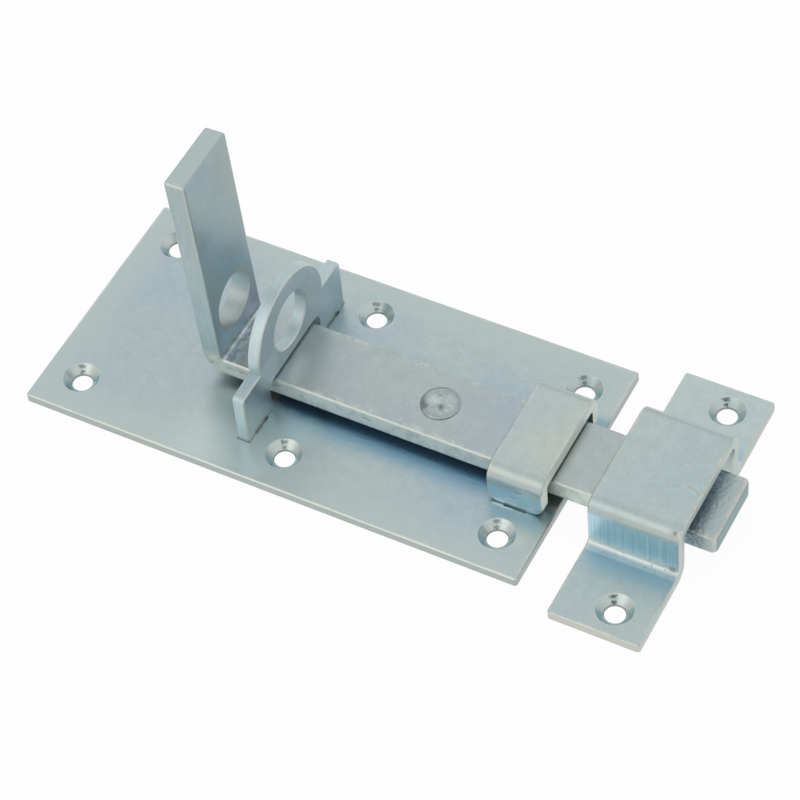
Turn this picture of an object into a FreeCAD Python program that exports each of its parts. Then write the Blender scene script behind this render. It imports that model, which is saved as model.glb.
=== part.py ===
"""Flat door bolt with padlock eyes, modelled at its real size in millimetres.

A flat bar, bent up at one end into a handle, slides through an upright eye plate and a
folded guide strap, both set into a screwed-down base plate. A keeper, folded like a hat,
is screwed to the door frame and takes the tip of the bar. A rivet through the bar rides
on the base plate and stops the bar at the eye plate when the bolt is drawn.

Frame: origin at the middle of the base plate on its back face, X along the bar towards
the keeper, Y across it, Z up from the back face. The bolt is shown thrown.
"""
import FreeCAD, Part
import math
import os
import Sketcher
from FreeCAD import Placement, Rotation, Vector

SIZES = {
    # Base plate
    "plate_length": 135.0,
    "plate_width": 68.5,
    "plate_thickness": 2.5,
    "plate_corner_radius": 0.7,
    "plate_screw_spacing_long": 115.0,
    "plate_screw_spacing_wide": 48.0,
    # Countersunk holes of the base plate and the keeper
    "screw_hole_diameter": 5.2,
    "screw_sink_diameter": 9.2,
    "screw_sink_angle": 90.0,
    # Small slope that the press leaves along the face side of each sheet
    "sheet_edge_break": 0.3,
    # Bar, with its handle and tip
    "bar_width": 20.0,
    "bar_thickness": 5.5,
    "bar_lift": 2.4,
    "bar_tip_reach": 107.3,
    "bar_edge_radius": 0.7,
    "tip_corner_radius": 1.5,
    "handle_setback": 24.2,
    "handle_rise": 60.6,
    "handle_lean": 2.4,
    "handle_corner_radius": 1.0,
    "handle_hole_diameter": 14.8,
    "handle_hole_height": 22.8,
    "bend_inner_radius": 0.8,
    # Rivet through the bar
    "rivet_reach": 30.8,
    "rivet_head_diameter": 10.4,
    "rivet_head_edge": 0.35,
    "rivet_head_height": 1.8,
    "rivet_shank_diameter": 6.0,
    "rivet_bore_gap": 0.03,
    "rivet_foot_diameter": 10.0,
    "rivet_running_gap": 0.05,
    # Eye plate
    "eye_setback": 9.3,
    "eye_thickness": 3.0,
    "eye_width": 48.8,
    "eye_shoulder_height": 15.6,
    "eye_shoulder_radius": 1.2,
    "eye_ring_radius": 15.8,
    "eye_ring_height": 17.1,
    "eye_hole_diameter": 15.4,
    "eye_hole_height": 22.0,
    "notch_side_gap": 2.4,
    "notch_top_gap": 0.6,
    "notch_corner_radius": 2.0,
    # Tenons of the eye plate and the strap, and their slots in the base plate
    "tenon_width": 5.6,
    "slot_side_gap": 0.1,
    "slot_face_gap": 0.5,
    # Guide strap
    "strap_width": 14.6,
    "strap_inset": 2.2,
    "strap_thickness": 3.0,
    "strap_side_gap": 2.5,
    "strap_top_gap": 0.8,
    "strap_inner_radius": 1.0,
    "strap_leg_radius": 3.0,
    # Keeper
    "keeper_width": 23.6,
    "keeper_stand_off": 10.2,
    "keeper_length": 78.4,
    "keeper_thickness": 2.5,
    "keeper_side_gap": 4.3,
    "keeper_top_gap": 4.3,
    "keeper_inner_radius": 1.5,
    "keeper_foot_radius": 1.5,
    "keeper_corner_radius": 0.8,
    "keeper_screw_spacing": 64.0,
    "keeper_screw_offset": 2.3,
}

# Levels and half widths that several pieces share, as expressions of the sheet
BAR_BOTTOM = "(sizes.plate_thickness + sizes.bar_lift)"
BAR_TOP = "(sizes.plate_thickness + sizes.bar_lift + sizes.bar_thickness)"
BAR_TOP_OVER_PLATE = "(sizes.bar_lift + sizes.bar_thickness)"
NOTCH_HALF = "(sizes.bar_width / 2 + sizes.notch_side_gap)"
EYE_LEG_MIDDLE = "((sizes.eye_width / 2 + sizes.bar_width / 2 + sizes.notch_side_gap) / 2)"
STRAP_INNER_HALF = "(sizes.bar_width / 2 + sizes.strap_side_gap)"
STRAP_INNER_TOP = "(sizes.bar_lift + sizes.bar_thickness + sizes.strap_top_gap)"
STRAP_MIDDLE = "(sizes.plate_length / 2 - sizes.strap_inset - sizes.strap_width / 2)"
KEEPER_MIDDLE = "(sizes.plate_length / 2 + sizes.keeper_stand_off + sizes.keeper_width / 2)"
KEEPER_INNER_HALF = "(sizes.bar_width / 2 + sizes.keeper_side_gap)"
KEEPER_INNER_TOP = f"({BAR_TOP} + sizes.keeper_top_gap)"
SHEET_EDGE = "sizes.sheet_edge_break"

# Points of a line or arc, and a sketch's own axes, by the numbers the sketcher gives them
START, END, CENTRE = range(1, 4)
H_AXIS, V_AXIS = range(-1, -3, -1)
ORIGIN_POINT = (H_AXIS, START)

doc = FreeCAD.newDocument("door_bolt")


def make_sheet():
    """Fills the sheet of driving dimensions, one named cell each."""
    sheet = doc.addObject("Spreadsheet::Sheet", "sizes")
    for row, (alias, value) in enumerate(SIZES.items(), start=1):
        sheet.set(f"A{row}", alias)
        sheet.set(f"B{row}", str(value))
        sheet.setAlias(f"B{row}", alias)
    doc.recompute()
    return sheet


def size(expression):
    """Value of an expression of the sheet, in millimetres or degrees."""
    return float(sheet.evalExpression(expression))


def new_body(name, place=("0", "0", "0")):
    """A body with its own label, placed by three expressions of the sheet."""
    body = doc.addObject("PartDesign::Body", name)
    body.Label = name
    for axis, expression in zip("xyz", place):
        if expression != "0":
            body.setExpression(f"Placement.Base.{axis}", expression)
    return body


def new_sketch(body, name, role, offset="0"):
    """A sketch on one of the body's own origin planes, shifted along its normal."""
    plane = next(item for item in body.Origin.OriginFeatures if item.Role == role)
    sketch = body.newObject("Sketcher::SketchObject", name)
    sketch.AttachmentSupport = (plane, [""])
    sketch.MapMode = "FlatFace"
    if offset != "0":
        sketch.setExpression("AttachmentOffset.Base.z", offset)
    return sketch


def fix_along(sketch, kind, geometry, position, expression):
    """Sets one coordinate of a point, measured from the sketch's origin."""
    if expression == "0":
        axis = V_AXIS if kind == "DistanceX" else H_AXIS
        sketch.addConstraint(Sketcher.Constraint("PointOnObject", geometry, position, axis))
        return
    value = size(expression)
    if value >= 0:
        constraint = Sketcher.Constraint(kind, *ORIGIN_POINT, geometry, position, value)
    else:
        constraint = Sketcher.Constraint(kind, geometry, position, *ORIGIN_POINT, -value)
        expression = f"-({expression})"
    index = sketch.addConstraint(constraint)
    sketch.setExpression(f"Constraints[{index}]", expression)


def fix_point(sketch, geometry, position, along_x, along_y):
    """Sets both coordinates of a point of the sketch."""
    fix_along(sketch, "DistanceX", geometry, position, along_x)
    fix_along(sketch, "DistanceY", geometry, position, along_y)


def draw_rectangle(sketch, left, right, bottom, top):
    """A rectangle between four expressions of the sheet."""
    corners = [
        Vector(size(left), size(bottom), 0),
        Vector(size(right), size(bottom), 0),
        Vector(size(right), size(top), 0),
        Vector(size(left), size(top), 0),
    ]
    first = sketch.GeometryCount
    for index in range(4):
        sketch.addGeometry(Part.LineSegment(corners[index], corners[(index + 1) % 4]))
    for index in range(4):
        following = first + (index + 1) % 4
        sketch.addConstraint(Sketcher.Constraint("Coincident", first + index, END, following, START))
    for index, kind in enumerate(("Horizontal", "Vertical", "Horizontal", "Vertical")):
        sketch.addConstraint(Sketcher.Constraint(kind, first + index))
    fix_point(sketch, first, START, left, bottom)
    fix_point(sketch, first + 2, START, right, top)


def draw_circle(sketch, along_x, along_y, diameter):
    """A circle whose centre and diameter are expressions of the sheet."""
    centre = Vector(size(along_x), size(along_y), 0)
    circle = sketch.addGeometry(Part.Circle(centre, Vector(0, 0, 1), size(diameter) / 2))
    fix_point(sketch, circle, CENTRE, along_x, along_y)
    index = sketch.addConstraint(Sketcher.Constraint("Diameter", circle, size(diameter)))
    sketch.setExpression(f"Constraints[{index}]", diameter)


def draw_closed_lines(sketch, points):
    """A closed loop of straight lines, joined end to end."""
    first = sketch.GeometryCount
    count = len(points)
    for index in range(count):
        sketch.addGeometry(Part.LineSegment(points[index], points[(index + 1) % count]))
    for index in range(count):
        following = first + (index + 1) % count
        sketch.addConstraint(Sketcher.Constraint("Coincident", first + index, END, following, START))
    return first


def pad(body, sketch, length, both_ways=False, backwards=False):
    """Adds the sketch's area, drawn out by an expression of the sheet."""
    feature = body.newObject("PartDesign::Pad", f"{sketch.Name}_pad")
    feature.Profile = sketch
    feature.Midplane = both_ways
    feature.Reversed = backwards
    feature.setExpression("Length", length)
    doc.recompute()
    return feature


def cut_through(body, sketch):
    """Cuts the sketch's area through everything on both sides of its plane."""
    volume = body.Shape.Volume
    feature = body.newObject("PartDesign::Pocket", f"{sketch.Name}_pocket")
    feature.Profile = sketch
    feature.Type = "ThroughAll"
    feature.Midplane = True
    doc.recompute()
    if body.Shape.Volume >= volume:
        raise RuntimeError(f"{feature.Name} cuts nothing")
    return feature


def sink_screw_holes(body, sketch):
    """Drills the sketch's circles from above, countersunk for screw heads."""
    volume = body.Shape.Volume
    feature = body.newObject("PartDesign::Hole", f"{sketch.Name}_drilled")
    feature.Profile = sketch
    doc.recompute()
    feature.Threaded = False
    feature.ThreadType = "None"
    feature.DepthType = "ThroughAll"
    feature.HoleCutType = "Countersink"
    feature.HoleCutCustomValues = True
    feature.setExpression("Diameter", "sizes.screw_hole_diameter")
    feature.setExpression("HoleCutDiameter", "sizes.screw_sink_diameter")
    feature.setExpression("HoleCutCountersinkAngle", "sizes.screw_sink_angle")
    doc.recompute()
    if body.Shape.Volume >= volume:
        raise RuntimeError(f"{feature.Name} cuts nothing")
    return feature


def straight_edges(body, direction, test):
    """Names of the straight edges along a direction whose middle passes a test."""
    names = []
    for index, edge in enumerate(body.Tip.Shape.Edges, start=1):
        if not isinstance(edge.Curve, Part.Line):
            continue
        if abs(edge.Curve.Direction.dot(direction)) < 0.999:
            continue
        if test(edge.CenterOfMass):
            names.append(f"Edge{index}")
    return names


def level_edges(body, axis, level, test=lambda middle: True):
    """Names of the edges that lie wholly on one level of an axis and pass a test."""
    names = []
    for index, edge in enumerate(body.Tip.Shape.Edges, start=1):
        points = edge.discretize(5)
        middle = points[len(points) // 2]
        if all(near(getattr(point, axis), level) for point in points) and test(middle):
            names.append(f"Edge{index}")
    return names


def chamfer(body, name, edges, width):
    """Breaks edges of the body's newest feature by an expression of the sheet."""
    if not edges:
        raise RuntimeError(f"{name} finds no edges")
    base = body.Tip
    feature = body.newObject("PartDesign::Chamfer", name)
    feature.Base = (base, edges)
    feature.setExpression("Size", width)
    doc.recompute()
    return feature


def fillet(body, name, edges, radius):
    """Rounds edges of the body's newest feature by an expression of the sheet."""
    if not edges:
        raise RuntimeError(f"{name} finds no edges")
    base = body.Tip
    feature = body.newObject("PartDesign::Fillet", name)
    feature.Base = (base, edges)
    feature.setExpression("Radius", radius)
    doc.recompute()
    return feature


def near(value, expression, slack=0.01):
    """True where a coordinate lies on a level given by an expression."""
    return abs(value - size(expression)) < slack


ALONG_X = Vector(1, 0, 0)
ALONG_Y = Vector(0, 1, 0)
ALONG_Z = Vector(0, 0, 1)


def make_base_plate():
    """Flat plate with six countersunk holes and four slots for tenons."""
    body = new_body("base_plate")
    outline = new_sketch(body, "plate_outline", "XY_Plane")
    half_length = "sizes.plate_length / 2"
    half_width = "sizes.plate_width / 2"
    draw_rectangle(outline, f"-{half_length}", half_length, f"-{half_width}", half_width)
    pad(body, outline, "sizes.plate_thickness")
    corners = straight_edges(body, ALONG_Z, lambda middle: True)
    fillet(body, "plate_corners", corners, "sizes.plate_corner_radius")
    chamfer(body, "plate_edges", level_edges(body, "z", "sizes.plate_thickness"), SHEET_EDGE)

    slots = new_sketch(body, "tenon_slots", "XY_Plane")
    eye_front = "-sizes.eye_setback + sizes.slot_face_gap"
    eye_back = "-sizes.eye_setback - sizes.eye_thickness - sizes.slot_side_gap"
    half_slot = "sizes.tenon_width / 2 + sizes.slot_side_gap"
    strap_face = f"{STRAP_INNER_HALF} + sizes.strap_thickness + sizes.slot_face_gap"
    strap_back = f"{STRAP_INNER_HALF} - sizes.slot_side_gap"
    for side in ("", "-"):
        middle = f"{side}{EYE_LEG_MIDDLE}"
        draw_rectangle(slots, eye_back, eye_front, f"{middle} - ({half_slot})", f"{middle} + {half_slot}")
        inner = f"{side}({strap_back})"
        outer = f"{side}({strap_face})"
        low, high = (inner, outer) if side == "" else (outer, inner)
        draw_rectangle(slots, f"{STRAP_MIDDLE} - ({half_slot})", f"{STRAP_MIDDLE} + {half_slot}", low, high)
    cut_through(body, slots)

    holes = new_sketch(body, "plate_screw_holes", "XY_Plane", "sizes.plate_thickness")
    half_long = "sizes.plate_screw_spacing_long / 2"
    half_wide = "sizes.plate_screw_spacing_wide / 2"
    for along_x in (f"-{half_long}", "0", half_long):
        for along_y in (f"-{half_wide}", half_wide):
            draw_circle(holes, along_x, along_y, "sizes.screw_hole_diameter")
    sink_screw_holes(body, holes)
    return body


def make_eye_plate():
    """Upright plate across the bar: two legs, low shoulders and a padlock ring."""
    body = new_body("eye_plate", ("-sizes.eye_setback", "0", "sizes.plate_thickness"))
    half_width = "sizes.eye_width / 2"

    web = new_sketch(body, "eye_web", "YZ_Plane")
    draw_rectangle(web, f"-{half_width}", half_width, "0", "sizes.eye_shoulder_height")
    pad(body, web, "sizes.eye_thickness", backwards=True)
    at_shoulder = lambda middle: near(middle.z, "sizes.eye_shoulder_height")
    shoulders = straight_edges(body, ALONG_X, at_shoulder)
    fillet(body, "eye_shoulders", shoulders, "sizes.eye_shoulder_radius")

    ring = new_sketch(body, "eye_ring", "YZ_Plane")
    draw_circle(ring, "0", "sizes.eye_ring_height", "2 * sizes.eye_ring_radius")
    pad(body, ring, "sizes.eye_thickness", backwards=True)
    over_foot = lambda middle: not near(middle.z, "0")
    chamfer(body, "eye_edges", level_edges(body, "x", "0", over_foot), SHEET_EDGE)

    tenons = new_sketch(body, "eye_tenons", "YZ_Plane")
    for side in ("", "-"):
        middle = f"{side}{EYE_LEG_MIDDLE}"
        left = f"{middle} - sizes.tenon_width / 2"
        right = f"{middle} + sizes.tenon_width / 2"
        draw_rectangle(tenons, left, right, "-sizes.plate_thickness", "0")
    pad(body, tenons, "sizes.eye_thickness", backwards=True)

    notch_top = f"{BAR_TOP_OVER_PLATE} + sizes.notch_top_gap"
    notch = new_sketch(body, "eye_notch", "YZ_Plane")
    below = "-sizes.notch_corner_radius"
    draw_rectangle(notch, f"-{NOTCH_HALF}", NOTCH_HALF, below, notch_top)
    cut_through(body, notch)
    corners = straight_edges(body, ALONG_X, lambda middle: near(middle.z, notch_top))
    fillet(body, "notch_corners", corners, "sizes.notch_corner_radius")
    half_notch, notch_level = size(NOTCH_HALF) + 0.01, size(notch_top) + 0.01
    in_notch = lambda middle: abs(middle.y) < half_notch and 0.01 < middle.z < notch_level
    chamfer(body, "notch_edges", level_edges(body, "x", "0", in_notch), SHEET_EDGE)

    hole = new_sketch(body, "eye_padlock_hole", "YZ_Plane")
    hole_level = "sizes.eye_hole_height - sizes.plate_thickness"
    draw_circle(hole, "0", hole_level, "sizes.eye_hole_diameter")
    cut_through(body, hole)
    on_hole = lambda middle: near(
        math.hypot(middle.y, middle.z - size(hole_level)), "sizes.eye_hole_diameter / 2"
    )
    chamfer(body, "eye_hole_edge", level_edges(body, "x", "0", on_hole), SHEET_EDGE)
    return body


def make_guide_strap():
    """Strap folded over the bar near the end of the plate, with a tenon on each leg."""
    body = new_body("guide_strap", (STRAP_MIDDLE, "0", "sizes.plate_thickness"))
    outer_half = f"({STRAP_INNER_HALF} + sizes.strap_thickness)"
    outer_top = f"({STRAP_INNER_TOP} + sizes.strap_thickness)"

    arch = new_sketch(body, "strap_arch", "YZ_Plane")
    draw_rectangle(arch, f"-{outer_half}", outer_half, "0", outer_top)
    pad(body, arch, "sizes.strap_width", both_ways=True)
    folds = straight_edges(body, ALONG_X, lambda middle: near(middle.z, outer_top))
    fillet(body, "strap_outer_folds", folds, "sizes.strap_inner_radius + sizes.strap_thickness")

    inside = new_sketch(body, "strap_inside", "YZ_Plane")
    below = "-sizes.strap_thickness"
    draw_rectangle(inside, f"-{STRAP_INNER_HALF}", STRAP_INNER_HALF, below, STRAP_INNER_TOP)
    cut_through(body, inside)
    folds = straight_edges(body, ALONG_X, lambda middle: near(middle.z, STRAP_INNER_TOP))
    fillet(body, "strap_inner_folds", folds, "sizes.strap_inner_radius")
    feet = straight_edges(body, ALONG_Y, lambda middle: near(middle.z, "0"))
    fillet(body, "strap_leg_corners", feet, "sizes.strap_leg_radius")
    chamfer(body, "strap_edges", level_edges(body, "z", outer_top), SHEET_EDGE)

    tenons = new_sketch(body, "strap_tenons", "YZ_Plane")
    for side in ("", "-"):
        inner = f"{side}{STRAP_INNER_HALF}"
        outer = f"{side}{outer_half}"
        left, right = (inner, outer) if side == "" else (outer, inner)
        draw_rectangle(tenons, left, right, "-sizes.plate_thickness", "0")
    pad(body, tenons, "sizes.tenon_width", both_ways=True)
    return body


def make_keeper():
    """Strip folded like a hat over the tip of the bar, with a screw hole in each foot."""
    body = new_body("keeper", (KEEPER_MIDDLE, "0", "0"))
    outer_half = f"({KEEPER_INNER_HALF} + sizes.keeper_thickness)"
    outer_top = f"({KEEPER_INNER_TOP} + sizes.keeper_thickness)"
    half_length = "sizes.keeper_length / 2"

    feet = new_sketch(body, "keeper_feet", "YZ_Plane")
    draw_rectangle(feet, f"-{half_length}", half_length, "0", "sizes.keeper_thickness")
    pad(body, feet, "sizes.keeper_width", both_ways=True)
    corners = straight_edges(body, ALONG_Z, lambda middle: True)
    fillet(body, "keeper_corners", corners, "sizes.keeper_corner_radius")

    arch = new_sketch(body, "keeper_arch", "YZ_Plane")
    draw_rectangle(arch, f"-{outer_half}", outer_half, "0", outer_top)
    pad(body, arch, "sizes.keeper_width", both_ways=True)
    folds = straight_edges(body, ALONG_X, lambda middle: near(middle.z, outer_top))
    fillet(body, "keeper_outer_folds", folds, "sizes.keeper_inner_radius + sizes.keeper_thickness")
    on_foot = lambda middle: near(middle.z, "sizes.keeper_thickness") and near(abs(middle.y), outer_half)
    folds = straight_edges(body, ALONG_X, on_foot)
    fillet(body, "keeper_foot_folds", folds, "sizes.keeper_foot_radius")

    inside = new_sketch(body, "keeper_inside", "YZ_Plane")
    below = "-sizes.keeper_thickness"
    draw_rectangle(inside, f"-{KEEPER_INNER_HALF}", KEEPER_INNER_HALF, below, KEEPER_INNER_TOP)
    cut_through(body, inside)
    folds = straight_edges(body, ALONG_X, lambda middle: near(middle.z, KEEPER_INNER_TOP))
    fillet(body, "keeper_inner_folds", folds, "sizes.keeper_inner_radius")
    at_mouth = lambda middle: near(middle.z, "0") and near(abs(middle.y), KEEPER_INNER_HALF)
    folds = straight_edges(body, ALONG_X, at_mouth)
    fillet(body, "keeper_mouth_folds", folds, "sizes.keeper_foot_radius + sizes.keeper_thickness")
    chamfer(body, "keeper_edges", level_edges(body, "z", outer_top), SHEET_EDGE)

    holes = new_sketch(body, "keeper_screw_holes", "XY_Plane", "sizes.keeper_thickness")
    for side in ("-", ""):
        along_y = f"{side}sizes.keeper_screw_spacing / 2"
        draw_circle(holes, "sizes.keeper_screw_offset", along_y, "sizes.screw_hole_diameter")
    sink_screw_holes(body, holes)
    return body


def draw_bar_profile(sketch):
    """Side view of the bar: a straight run, a fold and the handle that leans back."""
    tip = size("sizes.bar_tip_reach")
    thickness = size("sizes.bar_thickness")
    fold = -size("sizes.handle_setback")
    crown_level = thickness + size("sizes.handle_rise")
    rough = [
        Vector(tip, 0, 0),
        Vector(tip, thickness, 0),
        Vector(fold, thickness, 0),
        Vector(fold, crown_level, 0),
        Vector(fold - thickness, crown_level, 0),
        Vector(fold - thickness, 0, 0),
    ]
    draw_closed_lines(sketch, rough)
    end, top, inner, crown, outer, bottom = range(6)
    sketch.addConstraint(Sketcher.Constraint("Vertical", end))
    sketch.addConstraint(Sketcher.Constraint("Horizontal", top))
    sketch.addConstraint(Sketcher.Constraint("Horizontal", bottom))
    sketch.addConstraint(Sketcher.Constraint("Perpendicular", inner, crown))
    sketch.addConstraint(Sketcher.Constraint("Parallel", inner, outer))
    lengths = {
        end: "sizes.bar_thickness",
        inner: "sizes.handle_rise",
        crown: "sizes.bar_thickness",
    }
    for line, expression in lengths.items():
        index = sketch.addConstraint(Sketcher.Constraint("Distance", line, size(expression)))
        sketch.setExpression(f"Constraints[{index}]", expression)
    fix_point(sketch, end, START, "sizes.bar_tip_reach", "0")
    fix_along(sketch, "DistanceX", inner, START, "-sizes.handle_setback")
    crown_reach = "-sizes.handle_setback - sizes.handle_rise * sin(sizes.handle_lean * 1 deg)"
    fix_along(sketch, "DistanceX", inner, END, crown_reach)


def make_bolt_bar():
    """Flat bar folded up into the handle, with the padlock hole in the handle."""
    body = new_body("bolt_bar", ("0", "0", BAR_BOTTOM))
    profile = new_sketch(body, "bar_profile", "XZ_Plane")
    draw_bar_profile(profile)
    pad(body, profile, "sizes.bar_width", both_ways=True)

    at_tip = lambda middle: near(middle.x, "sizes.bar_tip_reach")
    corners = straight_edges(body, ALONG_Z, at_tip)
    fillet(body, "tip_corners", corners, "sizes.tip_corner_radius")

    at_fold = lambda middle: near(middle.x, "-sizes.handle_setback") and near(middle.z, "sizes.bar_thickness")
    fillet(body, "bend_inside", straight_edges(body, ALONG_Y, at_fold), "sizes.bend_inner_radius")
    behind = "-sizes.handle_setback - sizes.bend_inner_radius"
    at_heel = lambda middle: near(middle.z, "0") and middle.x < size(behind)
    outer_radius = "sizes.bend_inner_radius + sizes.bar_thickness"
    fillet(body, "bend_outside", straight_edges(body, ALONG_Y, at_heel), outer_radius)

    lean = math.radians(size("sizes.handle_lean"))
    across_crown = Vector(math.cos(lean), 0, math.sin(lean))
    crown_level = "sizes.bar_thickness + sizes.handle_rise / 2"
    at_crown = lambda middle: middle.z > size(crown_level)
    crown = straight_edges(body, across_crown, at_crown)
    fillet(body, "handle_corners", crown, "sizes.handle_corner_radius")
    on_run = lambda middle: near(abs(middle.y), "sizes.bar_width / 2") and middle.x > 0
    fillet(body, "bar_edges", straight_edges(body, ALONG_X, on_run), "sizes.bar_edge_radius")

    hole = new_sketch(body, "handle_padlock_hole", "YZ_Plane")
    height = f"(sizes.handle_hole_height - {BAR_BOTTOM})"
    drift = f"({height} - sizes.bar_thickness) * tan(sizes.handle_lean * 1 deg)"
    square_to_handle = Rotation(ALONG_X, -size("sizes.handle_lean"))
    hole.AttachmentOffset = Placement(Vector(0, 0, 0), square_to_handle)
    hole.setExpression("AttachmentOffset.Base.y", height)
    hole.setExpression("AttachmentOffset.Base.z", f"-sizes.handle_setback - {drift}")
    hole.setExpression("AttachmentOffset.Rotation.Angle", "-sizes.handle_lean * 1 deg")
    draw_circle(hole, "0", "0", "sizes.handle_hole_diameter")
    cut_through(body, hole)

    rivet_hole = new_sketch(body, "rivet_hole", "XY_Plane")
    rivet_bore = "sizes.rivet_shank_diameter + 2 * sizes.rivet_bore_gap"
    draw_circle(rivet_hole, "sizes.rivet_reach", "0", rivet_bore)
    cut_through(body, rivet_hole)
    return body


def make_stop_rivet():
    """Rivet through the bar: a domed head above and a thick flat foot on the base plate."""
    body = new_body("stop_rivet", ("sizes.rivet_reach", "0", BAR_BOTTOM))
    half = new_sketch(body, "rivet_half", "XZ_Plane")
    foot_bottom = "-(sizes.bar_lift - sizes.rivet_running_gap)"
    head_edge = "sizes.bar_thickness + sizes.rivet_head_edge"
    head_top = "sizes.bar_thickness + sizes.rivet_head_height"
    foot = "sizes.rivet_foot_diameter / 2"
    shank = "sizes.rivet_shank_diameter / 2"
    head = "sizes.rivet_head_diameter / 2"
    corners = [
        ("0", foot_bottom),
        (foot, foot_bottom),
        (foot, "0"),
        (shank, "0"),
        (shank, "sizes.bar_thickness"),
        (head, "sizes.bar_thickness"),
        (head, head_edge),
    ]
    points = [Vector(size(along), size(up), 0) for along, up in corners]
    crown = Vector(0, size(head_top), 0)
    for start, end in zip(points, points[1:]):
        half.addGeometry(Part.LineSegment(start, end))
    rim = points[-1]
    bulge = Vector(0, (crown.y - rim.y) / 4, 0)
    dome = half.addGeometry(Part.Arc(rim, (rim + crown) / 2 + bulge, crown))
    axis = half.addGeometry(Part.LineSegment(crown, points[0]))
    for line in range(axis):
        half.addConstraint(Sketcher.Constraint("Coincident", line, END, line + 1, START))
    half.addConstraint(Sketcher.Constraint("Coincident", axis, END, 0, START))
    for line, (along, up) in enumerate(corners):
        fix_point(half, line, START, along, up)
    fix_point(half, axis, START, "0", head_top)
    half.addConstraint(Sketcher.Constraint("PointOnObject", dome, CENTRE, V_AXIS))

    turned = body.newObject("PartDesign::Revolution", "rivet_turned")
    turned.Profile = half
    turned.ReferenceAxis = (half, ["V_Axis"])
    turned.Angle = 360
    doc.recompute()
    return body


def check_and_export(bodies):
    """Stops on any failed object or shape, then writes one file for each piece."""
    for item in doc.Objects:
        if "Invalid" in item.State or "Error" in item.State:
            raise RuntimeError(f"{item.Name} failed: {item.State}")
    for body in bodies:
        if body.Shape.isNull() or not body.Shape.isValid():
            raise RuntimeError(f"{body.Label} has no valid shape")
    os.makedirs("parts", exist_ok=True)
    for body in bodies:
        body.Shape.exportStep(f"parts/{body.Label}.step")
        box = body.Shape.BoundBox
        print(f"{body.Label}: {len(body.Shape.Solids)} solid, {body.Shape.Volume:.0f} mm3, "
              f"x {box.XMin:.2f}..{box.XMax:.2f} y {box.YMin:.2f}..{box.YMax:.2f} "
              f"z {box.ZMin:.2f}..{box.ZMax:.2f}")


sheet = make_sheet()
pieces = [
    make_base_plate(),
    make_eye_plate(),
    make_guide_strap(),
    make_keeper(),
    make_bolt_bar(),
    make_stop_rivet(),
]
doc.recompute()
check_and_export(pieces)
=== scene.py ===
"""Finish, light and camera for a flat zinc plated door bolt.

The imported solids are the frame. This script gives each of them its plated finish, puts a
hammered rivet in place of the plain one, lays a pale floor under the bolt and lights it
softly. Sizes are in metres, X along the bar, Y across it and Z up from the back face.
"""
import logging
import math
from dataclasses import dataclass
from enum import Enum
from functools import reduce

import bpy
from mathutils import Matrix, Vector


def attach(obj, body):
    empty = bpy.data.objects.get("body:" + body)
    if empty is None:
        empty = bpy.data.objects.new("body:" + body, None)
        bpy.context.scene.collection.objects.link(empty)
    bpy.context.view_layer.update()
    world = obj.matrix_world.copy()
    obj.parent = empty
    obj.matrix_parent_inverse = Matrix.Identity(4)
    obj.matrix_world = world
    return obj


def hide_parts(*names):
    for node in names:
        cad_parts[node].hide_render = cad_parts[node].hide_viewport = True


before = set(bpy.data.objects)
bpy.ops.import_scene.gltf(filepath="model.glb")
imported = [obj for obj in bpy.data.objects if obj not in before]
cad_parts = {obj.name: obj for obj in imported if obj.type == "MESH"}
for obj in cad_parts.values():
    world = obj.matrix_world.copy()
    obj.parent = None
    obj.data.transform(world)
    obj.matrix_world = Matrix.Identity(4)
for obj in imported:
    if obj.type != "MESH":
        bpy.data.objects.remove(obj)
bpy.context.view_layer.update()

LOG = logging.getLogger("door_bolt")
SINK_RADIUS = 0.0046
BORE_RADIUS = 0.0026
# Turn and tilt of each hammer blow in degrees, and its depth in millimetres
BLOWS = (
    (250, 3, 0.13), (190, 9, 0.08), (330, 15, 0.10),
    (85, 14, 0.10), (262, 17, 0.09), (20, 22, 0.06),
)
# Kinds of the node groups' sockets that aren't plain numbers
SOCKET_KINDS = {"Position": "Vector", **dict.fromkeys(("Base", "Cool", "Warm", "Colour"), "Color")}
Triple = tuple[float, float, float]
Colour = Triple
Socket = bpy.types.NodeSocket


class Grain(Enum):
    """Way that the rolling lines of a sheet run, as scales along X, Y and Z."""

    ALONG = (45.0, 1500.0, 1500.0)
    ACROSS = (1500.0, 45.0, 45.0)
    UPRIGHT = (1500.0, 1500.0, 60.0)


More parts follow.
